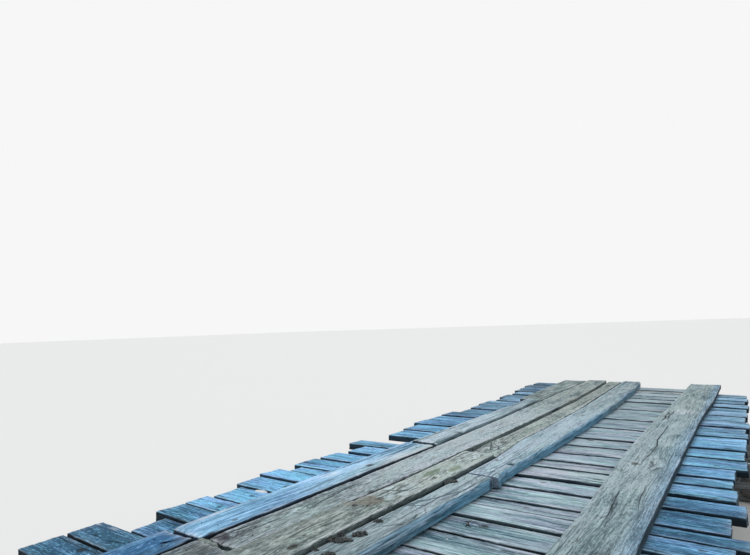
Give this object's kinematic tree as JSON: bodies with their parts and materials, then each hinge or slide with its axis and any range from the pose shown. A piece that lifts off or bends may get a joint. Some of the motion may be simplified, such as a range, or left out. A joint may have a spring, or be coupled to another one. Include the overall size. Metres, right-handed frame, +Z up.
{
  "type": "wooden footbridge",
  "caption": "Rustic timber bridge: cross planks on round log stringers and log cribs, with thick boards laid along it as wheel tracks.",
  "frame": {"origin": "on the ground plane, midway between both ends and both sides of the bridge", "axes": "+Y along the bridge to the far bank, +X to the right, +Z up"},
  "size_m": [3.6, 10, 1.309],
  "materials": {
    "deck_plank": "weathered, rough sawn, silver-blue grey",
    "outer_board": "weathered, bleached blue-grey",
    "track_board": "weathered, worn by wheels, khaki grey",
    "inner_board": "weathered, split along the grain, silver grey",
    "right_board": "weathered, coarse grain, greenish grey",
    "stringer_log": "peeled round log, weathered dark",
    "crib_log": "round log, weathered and damp"
  },
  "bodies": {
    "root": {"deck_planks_01": "deck_plank", "deck_planks_02": "deck_plank", "deck_planks_03": "deck_plank", "deck_planks_04": "deck_plank", "deck_planks_05": "deck_plank", "deck_planks_06": "deck_plank", "deck_planks_07": "deck_plank", "deck_planks_08": "deck_plank", "deck_planks_09": "deck_plank", "deck_planks_10": "deck_plank", "deck_planks_11": "deck_plank", "left_outer_board_1": "outer_board", "left_outer_board_2": "outer_board", "left_outer_board_3": "outer_board", "left_outer_board_4": "outer_board", "left_second_board_1": "track_board", "left_second_board_2": "track_board", "left_third_board_1": "track_board", "left_third_board_2": "track_board", "left_inner_board_1": "inner_board", "left_inner_board_2": "inner_board", "right_board_1": "right_board", "right_board_2": "right_board", "left_outer_stringer": "stringer_log", "left_inner_stringer": "stringer_log", "right_inner_stringer": "stringer_log", "right_outer_stringer": "stringer_log", "near_front_base_log": "crib_log", "near_back_base_log": "crib_log", "near_tie_logs": "crib_log", "near_front_sill_log": "crib_log", "near_back_sill_log": "crib_log", "far_front_base_log": "crib_log", "far_back_base_log": "crib_log", "far_tie_logs": "crib_log", "far_front_sill_log": "crib_log", "far_back_sill_log": "crib_log"}
  },
  "joints": []
}
